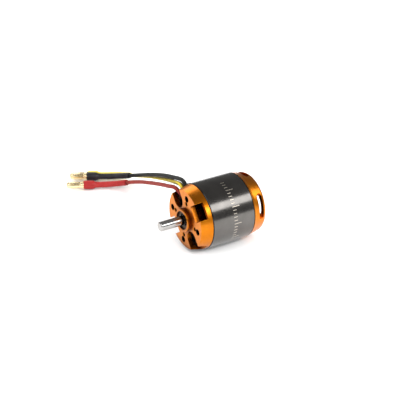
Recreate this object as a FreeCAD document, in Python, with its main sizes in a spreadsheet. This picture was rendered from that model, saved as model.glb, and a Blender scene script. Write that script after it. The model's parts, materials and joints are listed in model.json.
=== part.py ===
"""Brushless outrunner motor, 35 mm across and 42 mm long, with three leads and bullet connectors.

Frame: the origin is the centre of the mounting face, on the motor's axis. The shaft points along
-Y, the rotor's closed end is at +Y, and +Z is up. The motor lies on its side on a flat surface, and
its leads come down to the same surface. Lengths are millimetres. "Radial" positions are given by
their angle round the Y axis, counted from +X towards +Z.
"""
import FreeCAD, Part
import Sketcher
import math
import os

V = FreeCAD.Vector
RADIAL = V(1, 0, 0)
AXIAL = V(0, 1, 0)
UP = V(0, 0, 1)

# ---------------------------------------------------------------- driving dimensions

SIZES = (
    ("shaft_radius", 2.5, "output shaft"),
    ("shaft_tip", -15.1, "front end of the shaft"),
    ("shaft_end", 40.0, "rear end of the shaft"),
    ("shaft_chamfer", 0.5, "both ends of the shaft"),
    ("flat_length", 5.0, "flat on the shaft for a grub screw"),
    ("flat_depth", 0.4, "flat on the shaft for a grub screw"),
    ("fit_gap", 0.005, "radial gap of pieces that are pressed or glued together"),
    ("face_radius", 16.0, "mounting face"),
    ("mount_radius", 17.4, "rear rim of the front mount"),
    ("mount_depth", 6.4, "mounting face to rear rim"),
    ("plate_depth", 2.3, "thickness of the mounting plate"),
    ("cup_front_radius", 14.5, "hollow behind the mounting plate"),
    ("cup_rear_radius", 16.0, "the same hollow at the rear rim"),
    ("boss_radius", 6.2, "boss round the shaft"),
    ("boss_depth", 2.0, "how far the boss stands out of the mounting face"),
    ("boss_chamfer", 0.3, "edge of the boss"),
    ("tube_radius", 6.2, "bearing tube that carries the stator"),
    ("tube_bore", 4.3, "inside of the bearing tube between the bearings"),
    ("tube_end", 29.6, "rear end of the bearing tube"),
    ("notch_depth", 4.2, "how deep a square notch cuts the mount's side"),
    ("slot_depth", 5.0, "how deep the lower round-ended slot cuts the mount's side"),
    ("notch_floor", 10.3, "axis to the straight inner edge of a square notch"),
    ("notch_width", 8.9, "square notch"),
    ("notch_angle", 37.0, "first square notch; the other is opposite"),
    ("slot_width", 8.6, "round-ended slot"),
    ("slot_reach", 10.8, "axis to the centre of the slot's round end"),
    ("slot_angle", 127.0, "round-ended slot that the leads leave by; the lower one is opposite"),
    ("bolt_angle", 82.0, "first mounting hole; three more follow at quarter turns"),
    ("outer_bolt_circle", 25.0, "diameter of the M3 hole circle"),
    ("outer_bolt_radius", 1.5, "M3 thread at its full diameter"),
    ("inner_bolt_circle", 19.0, "diameter of the M2 hole circle"),
    ("inner_bolt_radius", 1.0, "M2 thread at its full diameter"),
    ("countersink", 0.25, "countersink of the mounting holes"),
    ("bearing_radius", 5.0, "ball bearing, 5 x 10 x 4"),
    ("bearing_width", 4.0, "ball bearing"),
    ("front_bearing", -1.2, "front face of the front bearing"),
    ("rear_bearing", 25.5, "front face of the rear bearing"),
    ("pitch_radius", 3.75, "circle of the ball centres"),
    ("ball_radius", 0.65, "bearing ball"),
    ("raceway_radius", 0.69, "groove that the balls run in"),
    ("inner_race_radius", 3.3, "shoulder of the inner race"),
    ("outer_race_bore", 4.25, "shoulder of the outer race"),
    ("shield_thickness", 0.2, "bearing shield"),
    ("shield_bore", 3.4, "bearing shield"),
    ("cage_inner_radius", 3.45, "ball cage"),
    ("cage_outer_radius", 4.05, "ball cage"),
    ("cage_width", 2.0, "ball cage"),
    ("cage_pocket", 0.71, "pocket that holds a ball"),
    ("shield_inset", 0.1, "end of a bearing to its shield"),
    ("shield_ledge", 0.35, "step in the outer race that holds a shield"),
    ("ring_radius", 17.6, "flux ring"),
    ("ring_wall", 1.5, "flux ring"),
    ("ring_front", 6.7, "front end of the flux ring"),
    ("ring_rear", 31.5, "rear end of the flux ring"),
    ("ring_chamfer", 0.25, "both ends of the flux ring"),
    ("magnet_thickness", 2.0, "arc magnet"),
    ("magnet_front", 9.3, "front end of the magnets"),
    ("magnet_length", 19.4, "arc magnet"),
    ("magnet_angle", 22.4, "angle that one magnet spans"),
    ("core_radius", 13.8, "laminated stator core"),
    ("core_front", 10.6, "front end of the stator core"),
    ("core_length", 16.6, "laminated stator core"),
    ("yoke_radius", 8.7, "bottom of the winding slots"),
    ("tooth_width", 3.0, "stator tooth"),
    ("tip_depth", 0.9, "radial depth of the tooth tips"),
    ("tip_flare", 0.5, "radial depth of the slope behind a tooth tip"),
    ("slot_mouth", 1.8, "gap between two tooth tips"),
    ("insulator_thickness", 0.5, "insulating end plate of the core"),
    ("insulator_radius", 13.7, "insulating end plate of the core"),
    ("insulator_wrap", 0.3, "how much wider an end plate's teeth are than the core's"),
    ("coil_inner_radius", 9.1, "coil round a tooth, inner end"),
    ("coil_outer_radius", 12.1, "coil round a tooth, outer end"),
    ("coil_inner_width", 4.5, "coil at its inner end"),
    ("coil_outer_width", 6.0, "coil at its outer end"),
    ("coil_overhang", 3.2, "how far the coils stand out of the core"),
    ("coil_rounding", 1.6, "rounded ends of a coil"),
    ("coil_clearance", 0.25, "between a tooth and its coil"),
    ("coil_end_gap", 0.1, "insulating end plate to the coil over it"),
    ("cap_rear", 40.0, "rear face of the rotor cap"),
    ("cap_plate", 2.0, "thickness of the cap's rear plate"),
    ("cap_shoulder", 33.0, "where the cap's side starts to taper"),
    ("cap_shoulder_radius", 17.1, "cap at its shoulder"),
    ("cap_rear_radius", 15.8, "cap at its rear face, before rounding"),
    ("cap_rounding", 2.0, "rounded rear edge of the cap"),
    ("cap_lip", 0.35, "step between the flux ring and the cap's side"),
    ("cap_lip_inset", 0.15, "the same step, in from the flux ring"),
    ("cap_bore", 14.0, "inside of the cap"),
    ("spigot_depth", 1.8, "how far the cap goes into the flux ring"),
    ("hub_radius", 5.6, "hub of the cap"),
    ("hub_front", 31.1, "front end of the cap's hub"),
    ("window_angle", 16.0, "first side window; three more follow at quarter turns"),
    ("window_length", 13.6, "side window, along the rim"),
    ("window_width", 3.1, "side window, along the axis"),
    ("window_centre", 36.6, "side window"),
    ("opening_inner", 7.2, "rear opening, inner edge"),
    ("opening_outer", 13.4, "rear opening, outer edge"),
    ("opening_span", 64.0, "angle that one rear opening spans"),
    ("opening_rounding", 1.0, "corners of a rear opening"),
    ("adapter_circle", 20.0, "diameter of the M3 hole circle in the cap's spokes"),
    ("adapter_bolt_radius", 1.25, "M3 tapping hole in the cap's spokes"),
    ("grub_radius", 1.5, "M3 grub screw"),
    ("grub_length", 3.0, "M3 grub screw"),
    ("grub_place", 35.8, "grub screws, along the axis"),
    ("socket_radius", 0.87, "corner radius of a grub screw's hexagon socket"),
    ("socket_depth", 1.2, "hexagon socket of a grub screw"),
    ("clip_radius", 3.2, "retaining ring on the shaft"),
    ("clip_opening", 2.2, "gap between the retaining ring's ends"),
    ("clip_play", 0.02, "retaining ring in its groove"),
    ("clip_groove", 2.15, "bottom of the groove that holds the retaining ring"),
    ("clip_thickness", 0.5, "retaining ring on the shaft"),
    ("lead_radius", 1.1, "silicone lead"),
    ("pin_radius", 1.75, "bullet connector"),
    ("pin_bulge", 1.95, "bullet connector at its sprung middle"),
    ("pin_length", 10.0, "bullet connector, in front of its sleeve"),
    ("collar_rise", 0.2, "collar of a bullet connector over its sprung middle"),
    ("collar_width", 0.7, "collar of a bullet connector"),
    ("slit_width", 0.5, "slits that let a bullet connector spring"),
    ("slit_start", 2.0, "collar of a bullet connector to its slits"),
    ("neck_length", 0.6, "neck behind a bullet connector's spring, and the slope after it"),
    ("bulge_place", 4.3, "collar of a bullet connector to its sprung middle"),
    ("nose_length", 1.6, "tapered nose of a bullet connector"),
    ("nose_chamfer", 0.55, "tip of a bullet connector's nose"),
    ("cup_radius", 1.9, "solder cup of the bullet connector"),
    ("cup_length", 3.6, "solder cup of the bullet connector"),
    ("sleeve_radius", 2.6, "heat-shrink sleeve over the solder cup"),
    ("sleeve_tail_radius", 1.8, "heat-shrink sleeve over the lead"),
    ("sleeve_length", 27.0, "whole heat-shrink sleeve"),
    ("sleeve_shoulder", 2.6, "how far the sleeve's wide part reaches back over the lead"),
    ("sleeve_taper", 0.9, "cone between the sleeve's wide and narrow parts"),
    ("sleeve_gap", 0.03, "inside of a sleeve to what it covers"),
    ("joint_radius", 1.25, "taped solder joint between a lead and its winding"),
    ("joint_length", 2.2, "taped solder joint between a lead and its winding"),
)

OVERSHOOT = 1  # how far a cutting tool runs past the solid
SAME = 0.01  # sizes closer than this are the same
BALL_COUNT = 9
FIRST_BALL_ANGLE = 7
MAGNET_COUNT = 14
TOOTH_COUNT = 12
CAP_CUTS = 4  # side windows, rear openings and adapter holes of the cap
PHASES = {"a": (0, 1, 6, 7), "b": (4, 5, 10, 11), "c": (2, 3, 8, 9)}

# Each lead's route, from its soldered inner end behind the mounting plate to its connector.
LEAD_ROUTES = {
    "red": (
        (-6.4, 5.1, 7.0), (-8.7, 4.0, 8.6), (-10.9, 2.8, 11.1), (-14.3, 2.2, 12.1), (-20.0, 2.3, 10.0),
        (-29.0, 3.2, 6.9), (-41.5, 4.3, 2.2), (-54.5, 5.1, -2.8), (-67.0, 6.0, -8.3), (-76.0, 5.6, -12.5),
        (-82.4, 1.0, -14.8), (-85.6, -5.0, -15.05), (-88.4, -11.1, -14.75)),
    "yellow": (
        (-4.2, 5.2, 8.8), (-6.7, 5.1, 10.5), (-9.3, 4.6, 12.9), (-12.7, 4.6, 14.0), (-19.0, 6.0, 11.7),
        (-27.5, 7.8, 8.7), (-37.0, 9.7, 5.2), (-47.5, 12.0, 0.8), (-59.0, 13.7, -3.6), (-71.5, 14.8, -8.6),
        (-83.5, 13.4, -12.9), (-91.4, 9.9, -14.95), (-95.4, 3.4, -15.1), (-98.9, -3.3, -14.9)),
    "black": (
        (-1.7, 5.2, 10.9), (-4.8, 5.2, 12.05), (-7.4, 5.2, 14.65), (-10.6, 5.5, 16.4), (-15.8, 6.1, 15.3),
        (-22.5, 7.0, 12.9), (-31.5, 7.9, 9.9), (-42.0, 9.1, 5.8), (-54.5, 10.1, 0.5), (-67.5, 11.0, -5.4),
        (-78.8, 10.2, -10.3), (-86.3, 6.7, -12.8), (-90.9, 0.4, -13.4), (-94.4, -6.0, -13.15)),
}
BEND_SHARE = 0.45
ALLOWED_ERROR = 0.01  # how far a lead's volume may be from its section times its length, as a share


class Dim:
    """A length that keeps its value together with the sheet expression that gives it."""

    def __init__(self, value, text):
        self.value = value
        self.text = text

    def __add__(self, other):
        other = as_dim(other)
        return Dim(self.value + other.value, f"({self.text} + {other.text})")

    def __sub__(self, other):
        other = as_dim(other)
        return Dim(self.value - other.value, f"({self.text} - {other.text})")

    def __mul__(self, other):
        other = as_dim(other)
        return Dim(self.value * other.value, f"({self.text} * {other.text})")

    def __truediv__(self, other):
        other = as_dim(other)
        return Dim(self.value / other.value, f"({self.text} / {other.text})")

    def __neg__(self):
        return Dim(-self.value, f"(-1 * {self.text})")


def as_dim(value):
    return value if isinstance(value, Dim) else Dim(float(value), f"{float(value):g}")


class Sizes:
    """The sheet's driving dimensions, one attribute for each alias."""

    def __init__(self, doc):
        self.sheet = doc.addObject("Spreadsheet::Sheet", "Sizes")
        for row, (alias, value, meaning) in enumerate(SIZES, start=1):
            self.sheet.set(f"A{row}", meaning)
            self.sheet.set(f"B{row}", str(value))
            self.sheet.setAlias(f"B{row}", alias)
            setattr(self, alias, Dim(value, f"Sizes.{alias}"))
        doc.recompute()


# ---------------------------------------------------------------- sketches and features

def tangent(degrees):
    return Dim(math.tan(math.radians(degrees)), f"tan({degrees:g} deg)")


def origin_feature(body, role):
    return next(feature for feature in body.Origin.OriginFeatures if feature.Role == role)


def new_body(doc, label):
    body = doc.addObject("PartDesign::Body", label)
    body.AllowCompound = True
    return body


def new_sketch(body, name, role, offset=None, turn=None):
    """A sketch on one of the body's own planes, turned in place and moved along its own normal."""
    sketch = body.newObject("Sketcher::SketchObject", name)
    sketch.AttachmentSupport = (origin_feature(body, role), [""])
    sketch.MapMode = "FlatFace"
    distance = as_dim(offset or 0)
    if turn:
        axis, degrees = turn
        angle = as_dim(degrees).text
        sketch.AttachmentOffset = FreeCAD.Placement(V(), FreeCAD.Rotation(axis, 1))
        sketch.setExpression("AttachmentOffset.Rotation.Angle", angle)
    if turn and axis == RADIAL:
        sketch.setExpression("AttachmentOffset.Base.y", f"-1 * {distance.text} * sin({angle})")
        sketch.setExpression("AttachmentOffset.Base.z", f"{distance.text} * cos({angle})")
    else:
        sketch.setExpression("AttachmentOffset.Base.z", distance.text)
    return sketch


def hold(sketch, kind, geometry, dim, point=1):
    """Hold one point of a shape at a distance from the sketch's origin."""
    dim = as_dim(dim)
    if dim.value == 0:
        axis = -2 if kind == "DistanceX" else -1
        sketch.addConstraint(Sketcher.Constraint("PointOnObject", geometry, point, axis))
        return
    index = sketch.addConstraint(Sketcher.Constraint(kind, -1, 1, geometry, point, dim.value))
    sketch.setExpression(f"Constraints[{index}]", dim.text)


def draw_polygon(sketch, corners):
    """A closed outline through the corners, each one dimensioned from the origin."""
    corners = [(as_dim(x), as_dim(y)) for x, y in corners]
    points = [V(x.value, y.value, 0) for x, y in corners]
    first = len(sketch.Geometry)
    for start, end in zip(points, points[1:] + points[:1]):
        sketch.addGeometry(Part.LineSegment(start, end))
    for index in range(len(points)):
        following = first + (index + 1) % len(points)
        sketch.addConstraint(Sketcher.Constraint("Coincident", first + index, 2, following, 1))
    for index, (x, y) in enumerate(corners):
        hold(sketch, "DistanceX", first + index, x)
        hold(sketch, "DistanceY", first + index, y)


def draw_circle(sketch, x, y, radius):
    x, y, radius = as_dim(x), as_dim(y), as_dim(radius)
    circle = sketch.addGeometry(Part.Circle(V(x.value, y.value, 0), UP, radius.value))
    hold(sketch, "DistanceX", circle, x, point=3)
    hold(sketch, "DistanceY", circle, y, point=3)
    index = sketch.addConstraint(Sketcher.Constraint("Radius", circle, radius.value))
    sketch.setExpression(f"Constraints[{index}]", radius.text)


def draw_slot(sketch, x, low, high, half_width):
    """A slot with round ends along the sketch's Y direction, between two end centres."""
    x, low, high, half_width = (as_dim(value) for value in (x, low, high, half_width))
    reach = half_width.value
    bottom, top = V(x.value, low.value, 0), V(x.value, high.value, 0)
    side = V(reach, 0, 0)
    first = len(sketch.Geometry)
    sketch.addGeometry(Part.LineSegment(bottom + side, top + side))
    sketch.addGeometry(Part.ArcOfCircle(Part.Circle(top, UP, reach), 0, math.pi))
    sketch.addGeometry(Part.LineSegment(top - side, bottom - side))
    sketch.addGeometry(Part.ArcOfCircle(Part.Circle(bottom, UP, reach), math.pi, 2 * math.pi))
    for index in range(4):
        following = first + (index + 1) % 4
        sketch.addConstraint(Sketcher.Constraint("Tangent", first + index, 2, following, 1))
    for arc, y in ((first + 1, high), (first + 3, low)):
        hold(sketch, "DistanceX", arc, x, point=3)
        hold(sketch, "DistanceY", arc, y, point=3)
    index = sketch.addConstraint(Sketcher.Constraint("Radius", first + 1, reach))
    sketch.setExpression(f"Constraints[{index}]", half_width.text)


def add_feature(body, kind, name, sketch, **sizes):
    """A sketch-based feature; numbers and dimensions are bound, other values are set."""
    feature = body.newObject(kind, name)
    feature.Profile = sketch
    for prop, value in sizes.items():
        if isinstance(value, Dim):
            feature.setExpression(prop, value.text)
        else:
            setattr(feature, prop, value)
    return feature


def revolve(body, corners, name="turned"):
    """Turn an outline of (radius, place along the axis) corners about the motor's axis."""
    sketch = new_sketch(body, f"{name}_outline", "XY_Plane")
    draw_polygon(sketch, corners)
    return add_feature(body, "PartDesign::Revolution", name, sketch, ReferenceAxis=(sketch, ["V_Axis"]),
                       Angle=360)


def polar(body, feature, count, name, angle=360):
    pattern = body.newObject("PartDesign::PolarPattern", name)
    pattern.Originals = [feature]
    pattern.Axis = (origin_feature(body, "Y_Axis"), [""])
    pattern.Angle = angle
    pattern.Occurrences = count
    body.Tip = pattern
    return pattern


def chamfer_edges(body, size, name, wanted):
    """Chamfer the tip feature's edges that the test picks out."""
    body.Document.recompute()
    base = body.Tip
    chosen = [f"Edge{number}" for number, edge in enumerate(base.Shape.Edges, start=1) if wanted(edge)]
    chamfer = body.newObject("PartDesign::Chamfer", name)
    chamfer.Base = (base, chosen)
    chamfer.setExpression("Size", as_dim(size).text)
    return chamfer


def fillet_edges(body, radius, name, wanted):
    """Round the tip feature's edges that the test picks out."""
    body.Document.recompute()
    base = body.Tip
    chosen = [f"Edge{number}" for number, edge in enumerate(base.Shape.Edges, start=1) if wanted(edge)]
    fillet = body.newObject("PartDesign::Fillet", name)
    fillet.Base = (base, chosen)
    fillet.setExpression("Radius", as_dim(radius).text)
    return fillet


def circle_at(radius, place):
    """A test for a full circle about the motor's axis, of one radius, at one place along it."""
    def wanted(edge):
        curve = edge.Curve
        if not isinstance(curve, Part.Circle):
            return False
        on_axis = math.hypot(curve.Center.x, curve.Center.z) < SAME
        return on_axis and abs(curve.Radius - radius) < SAME and abs(curve.Center.y - place) < SAME
    return wanted


def bound(obj, **sizes):
    """Bind properties to the sheet; a double underscore stands for a dot in a property's path."""
    for prop, value in sizes.items():
        obj.setExpression(prop.replace("__", "."), as_dim(value).text)
    return obj


def cylinder_along_axis(doc, name, radius, start, length):
    """A cylinder on the motor's axis."""
    cylinder = doc.addObject("Part::Cylinder", name)
    cylinder.Placement = FreeCAD.Placement(V(), FreeCAD.Rotation(UP, AXIAL))
    return bound(cylinder, Radius=radius, Height=length, Placement__Base__y=start)


def cut(doc, name, base, tool):
    result = doc.addObject("Part::Cut", name)
    result.Base = base
    result.Tool = tool
    return result


def washer(doc, name, inner, outer, start, length):
    """A flat ring on the motor's axis."""
    body = cylinder_along_axis(doc, f"{name}_disc", outer, start, length)
    bore = cylinder_along_axis(doc, f"{name}_bore", inner, as_dim(start) - OVERSHOOT,
                               as_dim(length) + 2 * OVERSHOOT)
    return cut(doc, name, body, bore)


def group(doc, name, members):
    compound = doc.addObject("Part::Compound", name)
    compound.Links = members
    return compound


# ---------------------------------------------------------------- stator side

def front_mount(doc, d):
    """Mounting plate with a cup behind it, a boss and the bearing tube, turned from one bar."""
    body = new_body(doc, "front_mount")
    seat = d.bearing_radius + d.fit_gap
    front_seat_end = d.front_bearing + d.bearing_width
    revolve(body, (
        (seat, -d.boss_depth), (d.boss_radius, -d.boss_depth), (d.boss_radius, 0), (d.face_radius, 0),
        (d.mount_radius, d.mount_depth), (d.cup_rear_radius, d.mount_depth),
        (d.cup_front_radius, d.plate_depth), (d.tube_radius, d.plate_depth),
        (d.tube_radius, d.tube_end), (seat, d.tube_end), (seat, d.rear_bearing),
        (d.tube_bore, d.rear_bearing), (d.tube_bore, front_seat_end), (seat, front_seat_end)))
    half_notch = d.notch_width / 2
    notch = new_sketch(body, "notch_outline", "XZ_Plane", offset=OVERSHOOT, turn=(UP, d.notch_angle))
    beyond = d.mount_radius + OVERSHOOT
    draw_polygon(notch, ((d.notch_floor, -half_notch), (beyond, -half_notch), (beyond, half_notch),
                         (d.notch_floor, half_notch)))
    cut_notch = add_feature(body, "PartDesign::Pocket", "notch", notch, Length=d.notch_depth + OVERSHOOT)
    polar(body, cut_notch, 2, "notches")
    quarter = Dim(90, "90")
    for name, turn, depth in (("lead_slot", d.slot_angle - quarter, d.mount_depth),
                              ("lower_slot", d.slot_angle + quarter, d.slot_depth)):
        slot = new_sketch(body, f"{name}_outline", "XZ_Plane", offset=OVERSHOOT, turn=(UP, turn))
        draw_slot(slot, 0, d.slot_reach, beyond + d.slot_width / 2, d.slot_width / 2)
        add_feature(body, "PartDesign::Pocket", name, slot, Length=depth + OVERSHOOT)
    drill_ring(doc, body, d, "outer_holes", d.outer_bolt_circle / 2, d.outer_bolt_radius)
    drill_ring(doc, body, d, "inner_holes", d.inner_bolt_circle / 2, d.inner_bolt_radius)
    boss_rim = circle_at(d.boss_radius.value, -d.boss_depth.value)
    chamfer_edges(body, d.boss_chamfer, "boss_edge", boss_rim)
    return body


def drill_ring(doc, body, d, name, circle_radius, hole_radius):
    """Four countersunk holes through the mounting plate."""
    sketch = new_sketch(body, f"{name}_centre", "XZ_Plane", turn=(UP, d.bolt_angle))
    draw_circle(sketch, circle_radius, 0, hole_radius)
    doc.recompute()
    hole = add_feature(body, "PartDesign::Hole", name[:-1], sketch)
    hole.ThreadType = "None"
    hole.DepthType = "Dimension"
    hole.HoleCutType = "Countersink"
    hole.HoleCutCustomValues = True
    diameter = hole_radius * 2
    bound(hole, Depth=d.plate_depth + OVERSHOOT, Diameter=diameter,
          HoleCutDiameter=diameter + d.countersink * 2)
    hole.HoleCutCountersinkAngle = 90
    return polar(body, hole, 4, name)


def bearing(doc, d, place, start):
    """A shielded ball bearing: two races, balls in their cage, and two shields."""
    middle = start + d.bearing_width / 2
    end = start + d.bearing_width
    rebate = d.shield_thickness + d.shield_inset

    outer = new_body(doc, f"{place}_bearing_outer_race")
    shield_seat = d.outer_race_bore + d.shield_ledge
    revolve(outer, (
        (shield_seat, start), (d.bearing_radius, start), (d.bearing_radius, end), (shield_seat, end),
        (shield_seat, end - rebate), (d.outer_race_bore, end - rebate),
        (d.outer_race_bore, start + rebate), (shield_seat, start + rebate)))
    groove_balls(outer, d, middle)

    inner = new_body(doc, f"{place}_bearing_inner_race")
    bore = d.shaft_radius + d.fit_gap
    revolve(inner, ((bore, start), (d.inner_race_radius, start), (d.inner_race_radius, end), (bore, end)))
    groove_balls(inner, d, middle)

    shield_radius = shield_seat - d.fit_gap
    shields = [
        washer(doc, f"{place}_{side}_shield", d.shield_bore, shield_radius, where, d.shield_thickness)
        for side, where in (("outer", start + d.shield_inset), ("inner", end - rebate))]
    group(doc, f"{place}_bearing_shields", shields)
    group(doc, f"{place}_bearing_balls", balls(doc, d, place, middle))

    blank = washer(doc, f"{place}_cage_ring", d.cage_inner_radius, d.cage_outer_radius,
                   middle - d.cage_width / 2, d.cage_width)
    pockets = group(doc, f"{place}_cage_pockets", cage_pockets(doc, d, place, middle))
    cut(doc, f"{place}_bearing_cage", blank, pockets)


def groove_balls(race, d, middle):
    """The half-round groove that the balls run in."""
    sketch = new_sketch(race, "raceway_outline", "XY_Plane")
    draw_circle(sketch, d.pitch_radius, middle, d.raceway_radius)
    add_feature(race, "PartDesign::Groove", "raceway", sketch,
                ReferenceAxis=(sketch, ["V_Axis"]), Angle=360)


def put_on_circle(obj, radius, angle, middle):
    """Move an object to a place on a circle about the motor's axis."""
    radius = as_dim(radius)
    bound(obj, Placement__Base__y=middle)
    obj.setExpression("Placement.Base.x", f"{radius.text} * cos({angle:g} deg)")
    obj.setExpression("Placement.Base.z", f"{radius.text} * sin({angle:g} deg)")
    return obj


def ball_angles():
    return [360 * index / BALL_COUNT + FIRST_BALL_ANGLE for index in range(BALL_COUNT)]


def balls(doc, d, place, middle):
    """Spheres spaced evenly on the bearing's pitch circle."""
    spheres = []
    for index, angle in enumerate(ball_angles()):
        sphere = bound(doc.addObject("Part::Sphere", f"{place}_ball_{index}"), Radius=d.ball_radius)
        spheres.append(put_on_circle(sphere, d.pitch_radius, angle, middle))
    return spheres


def cage_pockets(doc, d, place, middle):
    """Round holes through the cage, one for each ball."""
    drills = []
    for index, angle in enumerate(ball_angles()):
        drill = doc.addObject("Part::Cylinder", f"{place}_pocket_{index}")
        turn = math.radians(angle)
        outward = V(math.cos(turn), 0, math.sin(turn))
        drill.Placement = FreeCAD.Placement(V(), FreeCAD.Rotation(UP, outward))
        bound(drill, Radius=d.cage_pocket, Height=d.pitch_radius)
        drills.append(put_on_circle(drill, d.cage_inner_radius / 2, angle, middle))
    return drills


def lamination(doc, d, label, outer_radius, tooth_width, start, length):
    """A toothed disc: a ring with twelve winding slots, each open at its mouth."""
    body = new_body(doc, label)
    disc = new_sketch(body, "disc_outline", "XZ_Plane", offset=-start)
    draw_circle(disc, 0, 0, outer_radius)
    draw_circle(disc, 0, 0, d.tube_radius + d.fit_gap)
    add_feature(body, "PartDesign::Pad", "disc", disc, Length=length, Reversed=True)
    half_pitch = 180 / TOOTH_COUNT
    lean = tangent(half_pitch)
    wall = tooth_width / 2 / Dim(math.cos(math.radians(half_pitch)), f"cos({half_pitch:g} deg)")
    tip = outer_radius - d.tip_depth
    shoulder = tip - d.tip_flare
    mouth = d.slot_mouth / 2
    beyond = outer_radius + OVERSHOOT
    upper = ((d.yoke_radius, d.yoke_radius * lean - wall), (shoulder, shoulder * lean - wall), (tip, mouth),
             (beyond, mouth))
    lower = tuple((x, -y) for x, y in reversed(upper))
    slot = new_sketch(body, "winding_slot_outline", "XZ_Plane", offset=-start, turn=(UP, half_pitch))
    draw_polygon(slot, upper + lower)
    pocket = add_feature(body, "PartDesign::Pocket", "winding_slot", slot, Length=length)
    polar(body, pocket, TOOTH_COUNT, "winding_slots")
    return body


def coil(doc, d, tooth):
    """One coil: a tapered ring that fills its share of the two slots beside a tooth."""
    turn = FreeCAD.Rotation(AXIAL, -360 * tooth / TOOTH_COUNT)
    upright = FreeCAD.Rotation(V(0, 0, -1), V(1, 0, 0), V(0, 1, 0), "ZXY")
    place = FreeCAD.Placement(V(), turn.multiply(upright))
    front = d.core_front - d.coil_overhang
    rear = d.core_front + d.core_length + d.coil_overhang
    block = doc.addObject("Part::Wedge", f"coil_block_{tooth}")
    block.Placement = place
    bound(block, Ymin=d.coil_inner_radius, Ymax=d.coil_outer_radius, Zmin=front, Zmax=rear,
          Z2min=front, Z2max=rear, Xmin=-(d.coil_inner_width / 2), Xmax=d.coil_inner_width / 2,
          X2min=-(d.coil_outer_width / 2), X2max=d.coil_outer_width / 2)
    doc.recompute()
    rounded = doc.addObject("Part::Fillet", f"coil_rounded_{tooth}")
    rounded.Base = block
    ends = (front.value, rear.value)
    radius = d.coil_rounding.value
    rounded.Edges = [
        (number, radius, radius) for number, edge in enumerate(block.Shape.Edges, start=1)
        if edge.Length < d.coil_inner_width.value
        and any(all(abs(v.Y - end) < SAME for v in edge.Vertexes) for end in ends)]
    window = doc.addObject("Part::Box", f"coil_window_{tooth}")
    window.Placement = place
    half = d.tooth_width / 2 + d.coil_clearance
    gap = d.insulator_thickness + d.coil_end_gap
    bound(window, Width=d.coil_outer_radius + OVERSHOOT, Length=half * 2, Height=d.core_length + gap * 2)
    corner = place.multVec(V(-half.value, 0, d.core_front.value - gap.value))
    window.Placement = FreeCAD.Placement(corner, place.Rotation)
    return cut(doc, f"coil_{tooth}", rounded, window)


def windings(doc, d):
    """Twelve coils in three phases; each phase has two neighbouring pairs, opposite each other."""
    for phase, teeth in PHASES.items():
        group(doc, f"winding_phase_{phase}", [coil(doc, d, tooth) for tooth in teeth])


# ---------------------------------------------------------------- leads and connectors

def bend(before, corner, after):
    """The arc that rounds a route's corner, as large as its two runs allow, and its radius."""
    back, forward = before - corner, after - corner
    half_turn = (math.pi - back.getAngle(forward)) / 2
    reach = BEND_SHARE * min(back.Length, forward.Length)
    radius = reach / math.tan(half_turn)
    start = corner + V(back).normalize() * reach
    end = corner + V(forward).normalize() * reach
    inward = V(start + end - corner * 2).normalize()
    middle = corner + inward * (radius / math.cos(half_turn) - radius)
    return Part.Arc(start, middle, end), start, end, radius


def route_path(points):
    """Straight runs joined by tangent arcs, through the route's points."""
    points = [V(*point) for point in points]
    edges = []
    radii = []
    here = points[0]
    for before, corner, after in zip(points, points[1:], points[2:]):
        arc, start, end, radius = bend(before, corner, after)
        edges.append(Part.LineSegment(here, start).toShape())
        edges.append(arc.toShape())
        radii.append(radius)
        here = end
    edges.append(Part.LineSegment(here, points[-1]).toShape())
    return edges, radii


def last_stretch(edges, length):
    """The end of a path, of the given length."""
    kept = []
    for edge in reversed(edges):
        if edge.Length >= length:
            start = edge.getParameterByLength(edge.Length - length)
            kept.append(edge.Curve.toShape(start, edge.LastParameter))
            break
        kept.append(edge)
        length -= edge.Length
    return list(reversed(kept))


def tube(edges, radius):
    """A solid round tube along a path."""
    start = edges[0].valueAt(edges[0].FirstParameter)
    direction = edges[0].tangentAt(edges[0].FirstParameter)
    section = Part.Wire(Part.makeCircle(radius, start, direction))
    return Part.Wire(edges).makePipeShell([section], True, False)


def add_shape(doc, label, shape):
    feature = doc.addObject("Part::Feature", label)
    feature.Shape = shape
    return feature


def lead(doc, d, colour, edges, radii):
    """A silicone lead, one solid tube from its solder joint to its connector."""
    radius = d.lead_radius.value
    shape = tube(edges, radius)
    length = sum(edge.Length for edge in edges)
    expected = math.pi * radius ** 2 * length
    if abs(shape.Volume - expected) > ALLOWED_ERROR * expected:
        raise RuntimeError(f"the {colour} lead's volume is {shape.Volume:.1f}, not {expected:.1f}")
    print(f"{colour} lead: {length:.1f} mm, bend radii " + ", ".join(f"{r:.1f}" for r in radii))
    return add_shape(doc, f"lead_{colour}", shape)


def sleeve(doc, d, colour, edges, end, direction):
    """Heat-shrink over the solder cup and the lead behind it, narrower where it grips the lead."""
    wide, narrow = d.sleeve_radius.value, d.sleeve_tail_radius.value
    gap = d.sleeve_gap.value
    cup = d.cup_length.value
    shoulder = d.sleeve_shoulder.value
    taper = d.sleeve_taper.value
    covered = last_stretch(edges, d.sleeve_length.value - cup)
    front = Part.makeCylinder(wide, cup + shoulder, end - direction * shoulder, direction)
    cone = Part.makeCone(narrow, wide, taper, end - direction * (shoulder + taper), direction)
    skin = front.fuse([cone, tube(covered, narrow)])
    lead_bore = tube(last_stretch(edges, d.sleeve_length.value + OVERSHOOT), d.lead_radius.value + gap)
    cup_bore = Part.makeCylinder(d.cup_radius.value + gap, cup + OVERSHOOT, end, direction)
    return add_shape(doc, f"sleeve_{colour}", skin.cut([lead_bore, cup_bore]).removeSplitter())


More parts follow.
